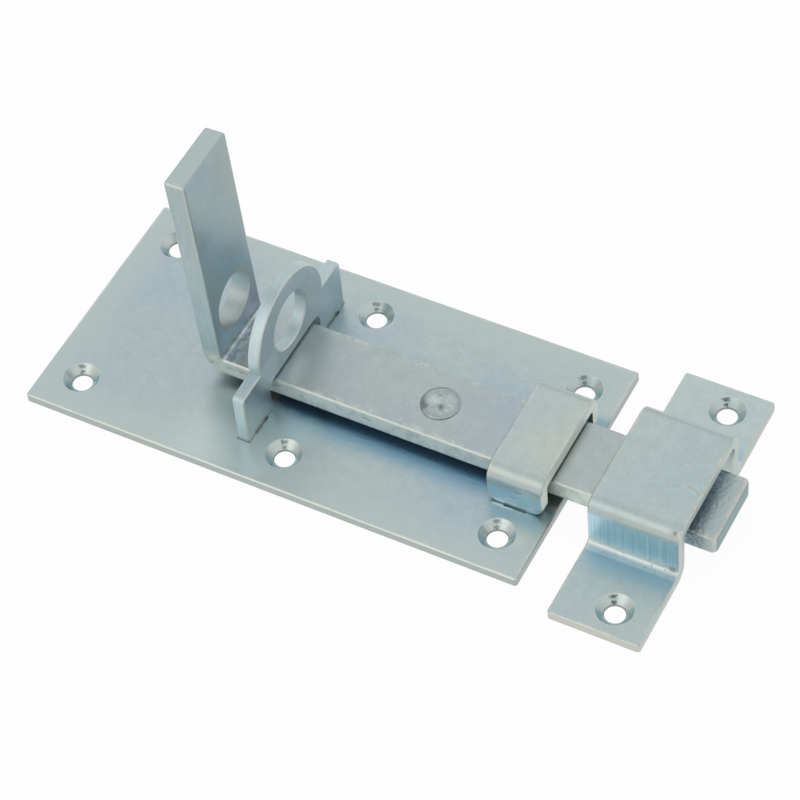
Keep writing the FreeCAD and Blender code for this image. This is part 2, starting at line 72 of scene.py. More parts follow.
class Graph:
    """Builds nodes in one node tree with few words."""

    def __init__(self, tree: bpy.types.NodeTree) -> None:
        """Takes the material's, world's or group's tree that the nodes go in."""
        self.tree = tree

    def node(self, kind: str, **settings: object) -> bpy.types.Node:
        """Adds a node.

        Args:
            kind: The node's type, without its ShaderNode prefix.
            settings: Values of the node's own properties.

        Returns:
            The new node.
        """
        made = self.tree.nodes.new(kind if kind.startswith("Node") else f"ShaderNode{kind}")
        for name, value in settings.items():
            setattr(made, name, value)
        return made

    def feed(self, target: Socket, value: object) -> None:
        """Links a socket, or sets its plain value.

        Args:
            target: An input socket.
            value: An output socket, a number, a vector or a colour.
        """
        if isinstance(value, bpy.types.NodeSocket):
            self.tree.links.new(value, target)
        elif target.type == "RGBA" and len(value) == 3:
            target.default_value = (*value, 1.0)
        else:
            target.default_value = value

    def fill(self, made: bpy.types.Node, *inputs: object) -> Socket:
        """Feeds a node in the order of its inputs.

        Args:
            made: The node.
            inputs: Sockets or plain values of its first inputs.

        Returns:
            The node's first output.
        """
        for target, value in zip(made.inputs, inputs):
            self.feed(target, value)
        return made.outputs[0]

    def load(self, made: bpy.types.Node, **inputs: object) -> bpy.types.Node:
        """Feeds a node by name.

        Args:
            made: The node.
            inputs: Values of its inputs, with an underscore for each space.

        Returns:
            The node.
        """
        for name, value in inputs.items():
            self.feed(made.inputs[name.replace("_", " ")], value)
        return made

    def math(self, operation: str, *inputs: object) -> Socket:
        """Adds a Math node and returns its result."""
        return self.fill(self.node("Math", operation=operation), *inputs)

    def vector(self, operation: str, *inputs: object) -> Socket:
        """Adds a Vector Math node and returns its result."""
        return self.fill(self.node("VectorMath", operation=operation), *inputs)

    def size(self, value: Socket) -> Socket:
        """Takes the sign off a number."""
        return self.math("ABSOLUTE", value)

    def minus(self, first: object, second: object) -> Socket:
        """Takes the second number from the first."""
        return self.math("SUBTRACT", first, second)

    def frayed(self, value: Socket, noise: Socket, depth: float) -> Socket:
        """Adds a noise of some depth to a number."""
        return self.math("MULTIPLY_ADD", noise, depth, value)

    def both(self, *masks: object) -> Socket:
        """Multiplies masks, which are sockets or numbers."""
        return reduce(lambda total, mask: self.math("MULTIPLY", total, mask), masks)

    def radius(self, across: Socket, along: Socket) -> Socket:
        """Length of the slanting side over two sides of a right angle."""
        squares = [self.math("MULTIPLY", item, item) for item in (across, along)]
        return self.math("SQRT", self.math("ADD", *squares))

    def scaled(self, colour: object, level: object) -> Socket:
        """Multiplies a colour by a number."""
        made = self.node("VectorMath", operation="SCALE")
        return self.fill(self.load(made, Scale=level), colour)

    def blend(self, factor: object, first: object, second: object) -> Socket:
        """Mixes two colours.

        Args:
            factor: Share of the second colour.
            first: The colour at 0.
            second: The colour at 1.

        Returns:
            The mixed colour's socket.
        """
        made = self.node("Mix", data_type="RGBA")
        for number, value in ((0, factor), (6, first), (7, second)):
            self.feed(made.inputs[number], value)
        return made.outputs[2]

    def span(
        self, value: object, low: float, high: float, start: float = 0.0, end: float = 1.0
    ) -> Socket:
        """Maps a number from a range smoothly onto the range from start to end."""
        made = self.node("MapRange", interpolation_type="SMOOTHSTEP")
        return self.fill(made, value, low, high, start, end)

    def fall(self, value: object, low: float, high: float, end: float = 0.0) -> Socket:
        """Mask that falls from 1 at the low value to its end at the high one."""
        return self.span(value, low, high, 1.0, end)

    def near(self, value: object, centre: float, half: float, soft: float) -> Socket:
        """Mask of the places within half of a centre, which fades out over a soft width."""
        return self.fall(self.size(self.minus(value, centre)), half, half + soft)

    def noise(self, place: Socket, scale: float, detail: float = 3.0, rough: float = 0.5) -> Socket:
        """Adds a noise, about 0 to 1, with so many octaves and weight of the finer ones."""
        inputs = {"Vector": place, "Scale": scale, "Detail": detail, "Roughness": rough}
        return self.load(self.node("TexNoise"), **inputs).outputs["Fac"]

    def group(self, tree: bpy.types.NodeTree, **inputs: object) -> dict[str, Socket]:
        """Places a node group, feeds it by name and returns its outputs by name."""
        return self.load(self.node("Group", node_tree=tree), **inputs).outputs


def new_group(
    name: str, inputs: tuple[str, ...], outputs: tuple[str, ...]
) -> tuple[Graph, dict[str, Socket], bpy.types.Node]:
    """Starts a node group that takes a position.

    Args:
        name: The group's name.
        inputs: Names of its other inputs.
        outputs: Names of its outputs.

    Returns:
        The group's graph, its input sockets by name and its output node.
    """
    tree = bpy.data.node_groups.new(name, "ShaderNodeTree")
    for way, sockets in (("INPUT", ("Position", *inputs)), ("OUTPUT", outputs)):
        for socket in sockets:
            kind = SOCKET_KINDS.get(socket, "Float")
            tree.interface.new_socket(socket, in_out=way, socket_type=f"NodeSocket{kind}")
    graph = Graph(tree)
    return graph, graph.node("NodeGroupInput").outputs, graph.node("NodeGroupOutput")


class PlatingGroups:
    """Node groups that the finishes share."""

    def __init__(self) -> None:
        """Builds every group once."""
        self.wear = self._wear()
        self.clouds = self._clouds()
        self.sink = self._sink()
        self.grain = self._grain()
        self.pits = self._pits()
        self.hairlines = self._hairlines()

    def _wear(self) -> bpy.types.NodeTree:
        """Broken line of worn metal along an edge.

        Returns:
            The group's tree.
        """
        graph, inputs, end = new_group("edge_wear", ("Distance", "Width"), ("Mask",))
        place = inputs["Position"]
        ragged = graph.span(graph.noise(place, 1100.0, 4.0, 0.6), 0.3, 0.7, 0.5, 1.4)
        wander = graph.span(graph.noise(place, 130.0, 2.0), 0.3, 0.7, 0.4, 1.4)
        width = graph.both(inputs["Width"], wander, ragged)
        share = graph.math("DIVIDE", inputs["Distance"], width)
        graph.load(end, Mask=graph.fall(share, 0.5, 1.3))
        return graph.tree

    def _clouds(self) -> bpy.types.NodeTree:
        """Slow change between three tints of the plating, with fine mottle.

        Returns:
            The group's tree.
        """
        tints = ("Base", "Cool", "Warm")
        graph, inputs, end = new_group("plating_clouds", (*tints, "Scale"), ("Colour", "Mottle"))
        place, colour = inputs["Position"], inputs["Base"]
        for shift, weight, other in ((0.0, 0.75, "Cool"), (0.37, 0.7, "Warm")):
            broad = graph.node("TexNoise")
            moved = graph.vector("ADD", place, (shift, -shift, shift))
            graph.load(broad, Vector=moved, Scale=inputs["Scale"], Detail=3.0, Distortion=0.4)
            share = graph.span(broad.outputs["Fac"], 0.42, 0.66, 0.0, weight)
            colour = graph.blend(share, colour, inputs[other])
        fine = graph.noise(place, 1700.0, 3.0, 0.7)
        patchy = graph.span(graph.noise(place, 330.0, 3.0, 0.6), 0.3, 0.7, 0.965, 1.03)
        level = graph.both(patchy, graph.span(fine, 0.25, 0.75, 0.94, 1.06))
        graph.load(end, Colour=graph.scaled(colour, level), Mottle=fine)
        return graph.tree

    def _sink(self) -> bpy.types.NodeTree:
        """Turning marks, burr and a painted dark reflection in a countersunk hole.

        Returns:
            The group's tree.
        """
        marks = ("Height", "Cone", "Burr", "Chatter", "Throat")
        graph, inputs, end = new_group("turned_sink", ("Across X", "Across Y"), marks)
        place, across = inputs["Position"], (inputs["Across X"], inputs["Across Y"])
        radius = graph.radius(*across)
        drift = graph.noise(place, 400.0, 2.0)
        ring_pitch = 0.00058
        wave = graph.math("SINE", graph.both(graph.frayed(radius, drift, 0.0004), math.tau / ring_pitch))
        cone = graph.fall(radius, SINK_RADIUS - 0.00008, SINK_RADIUS + 0.00006)
        around = graph.frayed(graph.math("ARCTAN2", *across), graph.noise(place, 1300.0, 2.0), 0.5)
        uneven = graph.frayed(radius, graph.noise(place, 1500.0, 2.0), 0.0007)
        # Painted dark reflection: two bands on the far side of the cone
        outer_band = graph.near(uneven, 0.0044, 0.00018, 0.0003)
        inner_band = graph.near(uneven, 0.00345, 0.00015, 0.0003)
        bands = graph.math("ADD", outer_band, inner_band)
        graph.load(
            end,
            Height=graph.both(wave, cone, graph.span(drift, 0.3, 0.7, 0.2, 1.0)),
            Cone=cone,
            Burr=graph.near(radius, SINK_RADIUS + 0.00003, 0.00006, 0.0001),
            Chatter=graph.both(bands, graph.near(around, -0.25, 0.09, 0.22)),
            Throat=graph.near(radius, BORE_RADIUS, 0.00006, 0.00012),
        )
        return graph.tree

    def _grain(self) -> bpy.types.NodeTree:
        """Long fine lines of rolled or drawn sheet, with a little grit.

        Returns:
            The group's tree.
        """
        graph, inputs, end = new_group("drawn_grain", (), ("Height",))
        lines = graph.noise(inputs["Position"], 1.0, 4.0, 0.6)
        grit = graph.noise(inputs["Position"], 3.0, 2.0, 0.7)
        graph.load(end, Height=graph.frayed(lines, grit, 0.5))
        return graph.tree

    def _pits(self) -> bpy.types.NodeTree:
        """Small scattered pits.

        Returns:
            The group's tree.
        """
        graph, inputs, end = new_group("pitting", ("Scale",), ("Mask",))
        place = inputs["Position"]
        cells = graph.load(graph.node("TexVoronoi"), Vector=place, Scale=inputs["Scale"])
        deep = graph.fall(cells.outputs["Distance"], 0.05, 0.38)
        patchy = graph.span(graph.noise(place, 420.0, 2.0), 0.42, 0.6)
        graph.load(end, Mask=graph.both(deep, patchy))
        return graph.tree

    def _hairlines(self) -> bpy.types.NodeTree:
        """A few short curved hairline scratches.

        Returns:
            The group's tree.
        """
        graph, inputs, end = new_group("hairlines", (), ("Mask",))
        place = inputs["Position"]
        warp = graph.load(graph.node("TexNoise"), Vector=place, Scale=90.0).outputs["Color"]
        bent = graph.vector("MULTIPLY_ADD", warp, (0.012, 0.012, 0.0), place)
        cells = graph.node("TexVoronoi", feature="DISTANCE_TO_EDGE")
        graph.load(cells, Vector=graph.vector("MULTIPLY", bent, (1.0, 0.4, 1.0)), Scale=260.0)
        line = graph.fall(cells.outputs["Distance"], 0.01, 0.035)
        patchy = graph.span(graph.noise(place, 210.0, 2.0), 0.55, 0.64)
        graph.load(end, Mask=graph.both(line, patchy))
        return graph.tree


@dataclass(frozen=True)
class Place:
    """Sockets for a point of the surface and the way that it faces."""

    position: Socket
    x: Socket
    y: Socket
    z: Socket
    facing_x: Socket
    facing_y: Socket
    facing_z: Socket

    @classmethod
    def read(cls, graph: Graph) -> "Place":
        """Adds the coordinate nodes.

        Args:
            graph: The material's graph.

        Returns:
            The sockets.
        """
        coordinates = graph.node("TexCoord").outputs
        split, facing = graph.node("SeparateXYZ"), graph.node("SeparateXYZ")
        graph.fill(split, coordinates["Object"])
        graph.fill(facing, coordinates["Normal"])
        return cls(coordinates["Object"], *split.outputs, *facing.outputs)


@dataclass(frozen=True)
class Zinc:
    """Zinc plating on one piece: its tints, gloss and grain."""

    name: str
    base: Colour = (0.415, 0.495, 0.505)
    cool: Colour = (0.385, 0.475, 0.530)
    warm: Colour = (0.450, 0.520, 0.495)
    side: Colour = (0.430, 0.490, 0.470)
    worn: Colour = (0.620, 0.625, 0.570)
    metallic: float = 0.94
    roughness: float = 0.33
    grain: Grain = Grain.ALONG
    grain_depth: float = 0.035
    cloud_scale: float = 34.0


class Coat:
    """A zinc material while its zones are being laid on it."""

    def __init__(self, finish: Zinc, groups: PlatingGroups) -> None:
        """Lays the ground coat.

        Args:
            finish: The tints and gloss.
            groups: The shared node groups.
        """
        self.material = bpy.data.materials.new(finish.name)
        self.material.use_nodes = True
        self.material.node_tree.nodes.clear()
        self.finish = finish
        self.groups = groups
        self.graph = graph = Graph(self.material.node_tree)
        self.place = Place.read(graph)
        clouds = graph.group(
            groups.clouds,
            Position=self.place.position,
            Base=finish.base,
            Cool=finish.cool,
            Warm=finish.warm,
            Scale=finish.cloud_scale,
        )
        self.colour = clouds["Colour"]
        self.roughness = graph.span(
            clouds["Mottle"], 0.2, 0.8, finish.roughness - 0.03, finish.roughness + 0.04
        )
        self.metallic: object = finish.metallic
        stretched = graph.vector("MULTIPLY", self.place.position, finish.grain.value)
        grain = graph.group(groups.grain, Position=stretched)["Height"]
        self.heights: list[tuple[Socket, float]] = [(grain, finish.grain_depth)]

    def noise(self, scale: float, detail: float = 3.0, rough: float = 0.5) -> Socket:
        """Adds a noise over the piece."""
        return self.graph.noise(self.place.position, scale, detail, rough)

    def streaks(self, scales: Triple, detail: float = 3.0, rough: float = 0.6) -> Socket:
        """Adds a noise with its own scale along each axis."""
        return self.graph.noise(
            self.graph.vector("MULTIPLY", self.place.position, scales), 1.0, detail, rough
        )

    def tint(self, colour: object, *masks: object) -> None:
        """Lays a colour where every mask is high."""
        self.colour = self.graph.blend(self.graph.both(*masks), self.colour, colour)

    def shade(self, level: object, *masks: object) -> None:
        """Darkens or lightens the colour by a factor where every mask is high."""
        self.tint(self.graph.scaled(self.colour, level), *masks)

    def gloss(self, roughness: float, *masks: object) -> None:
        """Sets the roughness where every mask is high."""
        gap = self.graph.minus(roughness, self.roughness)
        self.roughness = self.graph.math("MULTIPLY_ADD", gap, self.graph.both(*masks), self.roughness)

    def dull(self, metallic: float, roughness: float, *masks: object) -> None:
        """Makes the plating flatter and less like a mirror where every mask is high.

        Args:
            metallic: The new share of mirror.
            roughness: The new roughness.
            masks: Sockets or numbers.
        """
        gap = self.graph.minus(metallic, self.metallic)
        self.metallic = self.graph.math("MULTIPLY_ADD", gap, self.graph.both(*masks), self.metallic)
        self.gloss(roughness, *masks)

    def emboss(self, depth: float, *heights: object) -> None:
        """Adds a relief of so many millimetres for a height of 1."""
        self.heights.append((self.graph.both(*heights), depth))

    def wear(self, distance: object, width: float, *masks: object) -> Socket:
        """Wears the plating along an edge.

        Args:
            distance: Distance from the edge.
            width: Width of the worn line.
            masks: Where and how far the worn colour replaces the plating.

        Returns:
            The worn line's socket.
        """
        line = self.graph.group(
            self.groups.wear, Distance=distance, Width=width, Position=self.place.position
        )
        mask = self.graph.both(line["Mask"], *masks)
        self.tint(self.finish.worn, mask)
        return mask

    def countersink(self, across_x: Socket, row_y: float, reflection_share: float) -> None:
        """Turns the countersunk holes.

        Args:
            across_x: Distance along X from the nearest hole's middle.
            row_y: Distance of both rows of holes from the middle line.
            reflection_share: Share of the painted dark reflection on the far side of each cone.
        """
        graph, place = self.graph, self.place
        across_y = graph.minus(place.y, graph.both(graph.math("SIGN", place.y), row_y))
        marks = graph.group(
            self.groups.sink, Across_X=across_x, Across_Y=across_y, Position=place.position
        )
        cone = marks["Cone"]
        slant = graph.math("MULTIPLY_ADD", place.facing_x, -0.46, graph.both(place.facing_y, 0.89))
        # Painted light and shade across each cone: the far wall lighter, the near wall teal and darkest
        # where it faces farthest away
        self.tint((0.575, 0.64, 0.62), cone, graph.fall(slant, -0.15, 0.05))
        self.tint((0.44, 0.63, 0.68), cone, graph.span(slant, -0.1, 0.1))
        self.tint((0.18, 0.32, 0.36), cone, graph.span(slant, 0.2, 0.6))
        self.gloss(0.34, cone)
        self.shade(graph.span(marks["Height"], -0.8, 0.8, 0.965, 1.03), cone)
        self.tint((0.08, 0.13, 0.15), marks["Chatter"], reflection_share)
        self.shade(0.5, marks["Throat"])
        self.tint(self.finish.worn, marks["Burr"], 0.5)
        self.emboss(0.002, marks["Height"])

    def finish_off(self) -> bpy.types.Material:
        """Adds the shader.

        Returns:
            The material.
        """
        graph = self.graph
        total: object = 0.0
        for height, depth in self.heights:
            total = graph.math("MULTIPLY_ADD", height, depth, total)
        bump = graph.load(graph.node("Bump"), Height=total, Distance=0.001).outputs[0]
        shader = graph.load(graph.node("BsdfPrincipled"), Base_Color=self.colour, Normal=bump)
        graph.load(shader, Metallic=self.metallic, Roughness=self.roughness)
        graph.load(graph.node("OutputMaterial"), Surface=shader.outputs[0])
        return self.material

    def put_on(self, node: str) -> None:
        """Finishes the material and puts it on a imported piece.

        Args:
            node: The piece's name.
        """
        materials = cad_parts[node].data.materials
        materials.clear()
        materials.append(self.finish_off())
        LOG.info("%s wears %s", node, self.material.name)


@dataclass
class BasePlate:
    """The screwed plate with six countersunk holes."""

    half_length: float = 0.0675
    half_width: float = 0.03425
    hole_column: float = 0.0575
    hole_row: float = 0.024
    eye_x: float = -0.01095
    eye_half_thickness: float = 0.0015
    eye_half_width: float = 0.0244

    def dress(self, groups: PlatingGroups) -> None:
        """Gives the plate its finish.

        Args:
            groups: The shared node groups.
        """
        coat = Coat(Zinc("zinc_base_plate", roughness=0.32), groups)
        graph, place = coat.graph, coat.place
        reach_y = graph.size(place.y)
        edge = graph.math(
            "MINIMUM",
            graph.minus(self.half_length, graph.size(place.x)),
            graph.minus(self.half_width, reach_y),
        )
        on_top = graph.span(place.facing_z, 0.4, 0.6)
        on_edge = graph.fall(place.facing_z, 0.2, 0.4)
        coat.tint((0.465, 0.54, 0.515), graph.span(edge, 0.001, 0.013, 0.75, 0.0), on_top)
        coat.tint(coat.finish.side, on_edge)
        coat.dull(0.75, 0.5, on_edge)
        coat.wear(edge, 0.00055, on_top, 0.8)
        narrowed = graph.math("ADD", reach_y, graph.span(place.x, -0.0094, 0.001, 0.0020, 0.0))
        ragged_y = graph.frayed(narrowed, coat.noise(260.0, 3.0, 0.6), 0.003)
        self._paint_bar_reflection(coat, reach_y, ragged_y, on_top)
        self._mark_top(coat, reach_y, ragged_y, on_top)
        column = graph.math("ROUND", graph.math("DIVIDE", place.x, self.hole_column))
        across_x = graph.minus(place.x, graph.both(column, self.hole_column))
        coat.countersink(across_x, self.hole_row, 0.65)
        coat.put_on("base_plate")

    def _paint_bar_reflection(self, coat: Coat, reach_y: Socket, ragged_y: Socket, on_top: Socket) -> None:
        """Lays a painted blue reflection of the bar on the plate beside it, darker near the eye plate,
        with ripples in the plating.

        Args:
            coat: The plate's coat.
            reach_y: Distance from the middle line.
            ragged_y: The same with an uneven edge.
            on_top: Mask of the top face.
        """
        graph, place = coat.graph, coat.place
        run = graph.both(graph.span(place.x, -0.0102, -0.0094), graph.fall(place.x, 0.050, 0.056))
        bar_reflection = graph.both(graph.fall(ragged_y, 0.0110, 0.0205), run, on_top)
        # Painted reflection: the bar's blue reflected in the plate beside it
        coat.tint((0.19, 0.41, 0.63), bar_reflection, graph.span(place.y, -0.005, 0.005, 0.92, 0.3))
        ripple = coat.streaks((330.0, 1150.0, 330.0), rough=0.55)
        coat.emboss(0.045, ripple, graph.fall(reach_y, 0.014, 0.023, 0.15), run)
        # Painted reflection: darker still right beside the bar towards the eye plate
        coat.shade(0.8, bar_reflection, graph.fall(ragged_y, 0.0125, 0.0155), graph.fall(place.x, 0.002, 0.012))

    def _mark_top(self, coat: Coat, reach_y: Socket, ragged_y: Socket, on_top: Socket) -> None:
        """Lays a dark patch beside the strap, a burr, painted light patches, a painted sheen and a
        painted contact shadow round the eye plate's legs.

        Args:
            coat: The plate's coat.
            reach_y: Distance from the middle line.
            ragged_y: The same with an uneven edge.
            on_top: Mask of the top face.
        """
        graph, place = coat.graph, coat.place
        # Rows: a dark patch beside the strap's feet, a burr, and painted light that lifts the plate
        # beside the eye plate's near leg and by the strap's near foot
        for along, across, share, colour in (
            ((0.0655, 0.0015, 0.003), (ragged_y, 0.0165, 0.001, 0.003), 0.7, (0.20, 0.34, 0.40)),
            ((0.0550, 0.0020, 0.0014), (reach_y, 0.0162, 0.0002, 0.0002), 0.8, (0.78, 0.82, 0.78)),
            ((-0.0115, 0.006, 0.014), (place.y, -0.0275, 0.003, 0.008), 0.9, (0.55, 0.63, 0.62)),
            ((0.0605, 0.002, 0.004), (place.y, -0.0222, 0.001, 0.004), 0.8, (0.54, 0.59, 0.54)),
        ):
            coat.tint(colour, graph.near(place.x, *along), graph.near(*across), on_top, share)
        # Painted sheen: a paler blue patch beside the bar towards the eye plate
        sheen = graph.both(graph.near(ragged_y, 0.0182, 0.001, 0.0045), graph.fall(place.y, -0.010, 0.0))
        coat.tint((0.50, 0.65, 0.69), graph.near(place.x, -0.0020, 0.002, 0.008), sheen, on_top, 0.65)
        # Painted contact shadow: a dark line round the eye plate's legs where they meet the plate
        off_web = graph.minus(graph.size(graph.minus(place.x, self.eye_x)), self.eye_half_thickness)
        off_leg = graph.math("MAXIMUM", off_web, graph.minus(reach_y, self.eye_half_width))
        contact_shadow = graph.both(graph.fall(off_leg, 0.0001, 0.0005), graph.span(reach_y, 0.012, 0.014))
        coat.tint((0.10, 0.13, 0.14), contact_shadow, on_top, 0.7)


@dataclass
class EyePlate:
    """The upright plate with the padlock eye."""

    half_width: float = 0.0244
    shoulder_z: float = 0.0181
    ring_z: float = 0.0196
    ring_radius: float = 0.0158
    hole_z: float = 0.022
    hole_radius: float = 0.0077

    def dress(self, groups: PlatingGroups) -> None:
        """Gives the eye plate its finish.

        Args:
            groups: The shared node groups.
        """
        finish = Zinc(
            "zinc_eye_plate",
            base=(0.53, 0.64, 0.67),
            cool=(0.47, 0.61, 0.69),
            warm=(0.57, 0.65, 0.64),
            side=(0.50, 0.60, 0.62),
            roughness=0.42,
            grain=Grain.UPRIGHT,
        )
        coat = Coat(finish, groups)
        graph, place = coat.graph, coat.place
        outer = graph.minus(self.ring_radius, self._radius(graph, place, self.ring_z))
        web = graph.math(
            "MINIMUM",
            graph.minus(self.half_width, graph.size(place.y)),
            graph.minus(self.shoulder_z, place.z),
        )
        hole = graph.minus(self._radius(graph, place, self.hole_z), self.hole_radius)
        edge = graph.math("MINIMUM", graph.math("MAXIMUM", outer, web), hole)
        rim = graph.fall(graph.size(place.facing_x), 0.2, 0.4)
        front = graph.span(place.facing_x, 0.5, 0.9)
        coat.tint(finish.side, rim)
        cheek = graph.both(graph.fall(place.facing_y, -0.9, -0.6), graph.fall(place.z, 0.016, 0.019))
        coat.tint((0.54, 0.70, 0.76), rim, cheek, 0.65)
        # Painted light: the ring's rim lighter where it faces the near side
        flank = graph.both(graph.fall(place.facing_y, -0.6, -0.2), graph.span(place.z, 0.019, 0.022))
        coat.shade(1.08, rim, flank)
        coat.tint((0.50, 0.70, 0.80), front, graph.span(place.y, 0.0125, 0.0165), 0.45)
        coat.shade(graph.span(coat.streaks((1500.0, 150.0, 150.0)), 0.35, 0.65, 0.95, 1.06), rim)
        # Painted light: the front face lighter over the near leg
        near_leg = graph.near(place.y, -0.0125, 0.003, 0.003)
        coat.shade(1.15, front, near_leg, graph.near(place.z, 0.0150, 0.003, 0.004))
        # Painted shade: the far half of the front face darker
        coat.shade(0.91, front, graph.span(place.y, 0.0, 0.009))
        coat.dull(0.8, 0.45, rim)
        coat.wear(edge, 0.0005, graph.span(place.facing_x, 0.3, 0.6), 0.7)
        coat.put_on("eye_plate")

    def _radius(self, graph: Graph, place: Place, level: float) -> Socket:
        """Distance from a point of the plate's middle line, seen from the front."""
        return graph.radius(place.y, graph.minus(place.z, level))


@dataclass
class GuideStrap:
    """The strap folded over the bar."""

    middle_x: float = 0.058
    half_width: float = 0.0073

    def dress(self, groups: PlatingGroups) -> None:
        """Gives the strap its finish.

        Args:
            groups: The shared node groups.
        """
        finish = Zinc(
            "zinc_guide_strap",
            base=(0.47, 0.525, 0.495),
            warm=(0.495, 0.535, 0.485),
            cool=(0.44, 0.515, 0.515),
            grain=Grain.ACROSS,
        )
        coat = Coat(finish, groups)
        graph, place = coat.graph, coat.place
        edge = graph.minus(self.half_width, graph.size(graph.minus(place.x, self.middle_x)))
        along, across = graph.size(place.facing_x), graph.size(place.facing_y)
        streaks = coat.streaks((260.0, 90.0, 900.0))
        ragged = graph.frayed(place.z, streaks, 0.006)
        leg = graph.both(graph.span(across, 0.75, 0.95), graph.fall(ragged, 0.0105, 0.0135, 0.2))
        coat.tint((0.40, 0.66, 0.82), leg, 0.92)
        low = graph.fall(place.z, 0.0035, 0.0075)
        coat.tint((0.70, 0.82, 0.84), leg, low, graph.span(streaks, 0.42, 0.58), 0.8)
        coat.shade(0.7, leg, graph.fall(streaks, 0.3, 0.42))
        warm = graph.both(graph.span(across, 0.3, 0.6), graph.span(streaks, 0.5, 0.62))
        coat.tint((0.50, 0.49, 0.43), warm, graph.span(place.z, 0.0095, 0.0115), 0.4)
        cut = graph.span(along, 0.75, 0.9)
        coat.tint((0.82, 0.88, 0.82), cut)
        coat.dull(0.35, 0.55, cut)
        coat.wear(edge, 0.0005, graph.fall(along, 0.85, 0.9), 0.7)
        coat.put_on("guide_strap")


@dataclass
class Keeper:
    """The hat-shaped keeper round the tip of the bar."""

    middle_x: float = 0.0895
    half_width: float = 0.0118
    half_length: float = 0.0392
    wall_y: float = 0.0168
    top_z: float = 0.0172
    foot_z: float = 0.0025
    hole_x: float = 0.0918
    hole_y: float = 0.032

    def dress(self, groups: PlatingGroups) -> None:
        """Gives the keeper its finish.

        Args:
            groups: The shared node groups.
        """
        finish = Zinc(
            "zinc_keeper",
            base=(0.44, 0.515, 0.507),
            cool=(0.42, 0.51, 0.518),
            grain=Grain.ACROSS,
        )
        coat = Coat(finish, groups)
        graph, place = coat.graph, coat.place
        along, reach_y = graph.size(place.facing_x), graph.size(place.y)
        edge = graph.math(
            "MINIMUM",
            graph.minus(self.half_width, graph.size(graph.minus(place.x, self.middle_x))),
            graph.minus(self.half_length, reach_y),
        )
        self._draw_walls(coat, reach_y)
        self._scratch_top(coat)
        end = graph.span(graph.minus(reach_y, self.half_length), -0.00025, -0.0001)
        for mask, colour in ((graph.span(along, 0.75, 0.9), (0.52, 0.59, 0.56)), (end, finish.side)):
            coat.tint(colour, mask)
            coat.dull(0.75, 0.5, mask)
        coat.wear(edge, 0.0005, graph.fall(along, 0.85, 0.9), 0.75)
        coat.countersink(graph.minus(place.x, self.hole_x), self.hole_y, 0.9)
        coat.put_on("keeper")

    def _draw_walls(self, coat: Coat, reach_y: Socket) -> None:
        """Lays the blue, drawn walls, a painted reflection of them on the feet, the pitted bends and a
        painted lighter far foot.

        Args:
            coat: The keeper's coat.
            reach_y: Distance from the middle line.
        """
        graph, place = coat.graph, coat.place
        outward = graph.both(place.facing_y, graph.math("SIGN", place.y))
        streaks = coat.streaks((2200.0, 30.0, 40.0))
        ragged = graph.frayed(place.z, streaks, 0.0012)
        wall = graph.both(
            graph.span(outward, 0.7, 0.95),
            graph.fall(ragged, self.top_z - 0.0038, self.top_z - 0.0024),
            graph.span(graph.minus(self.half_length, reach_y), 0.001, 0.003),
        )
        coat.tint((0.47, 0.71, 0.81), wall, 0.9)
        coat.shade(graph.span(streaks, 0.3, 0.7, 0.87, 1.12), wall)
        coat.emboss(0.05, streaks, wall)
        # Painted reflection: the walls' darker blue reflected in the feet beside them
        foot = graph.both(
            graph.fall(reach_y, self.wall_y, self.wall_y + 0.010),
            graph.span(place.facing_z, 0.7, 0.95),
            graph.fall(place.z, 0.003, 0.006),
        )
        coat.tint((0.29, 0.45, 0.56), foot, 0.75)
        bend = graph.both(
            graph.near(reach_y, self.wall_y + 0.0008, 0.0013, 0.0007),
            graph.near(place.z, self.foot_z + 0.0007, 0.0010, 0.0007),
        )
        pits = graph.group(coat.groups.pits, Position=place.position, Scale=1400.0)["Mask"]
        coat.tint((0.66, 0.72, 0.70), bend, 0.65)
        coat.shade(0.6, bend, pits)
        coat.emboss(-0.08, bend, pits)
        # Painted light: the far foot lighter
        coat.shade(1.07, graph.span(place.y, 0.018, 0.023))
        speck_x = self.middle_x + self.half_width - 0.0017
        top_speck = (self.top_z - 0.0009, self.wall_y - 0.0009, 0.0007)
        foot_speck = (0.0036, 0.0171, 0.0005)
        for level, across, size in (top_speck, foot_speck):
            coat.tint(
                (0.17, 0.15, 0.13),
                graph.near(place.x, speck_x, size, 0.0011),
                graph.near(place.y, -across, 0.0003, 0.0008),
                graph.near(place.z, level, 0.0003, 0.0008),
                graph.span(streaks, 0.35, 0.6),
                0.85,
            )

    def _scratch_top(self, coat: Coat) -> None:
        """Lays a few rusty hairlines on the top and the worn right edge.

        Args:
            coat: The keeper's coat.
        """
        graph, place = coat.graph, coat.place
        top = graph.both(graph.span(place.z, 0.0166, 0.0170), graph.span(place.x, 0.082, 0.092))
        hair = graph.group(coat.groups.hairlines, Position=place.position)["Mask"]
        coat.tint((0.42, 0.38, 0.31), top, hair, 0.55)
        rust = graph.both(
            graph.near(place.x, self.middle_x + self.half_width - 0.0006, 0.0002, 0.0007),
            graph.span(coat.noise(600.0), 0.45, 0.62),
            graph.span(place.z, 0.006, 0.012),
        )
        coat.tint((0.46, 0.43, 0.36), rust, 0.35)


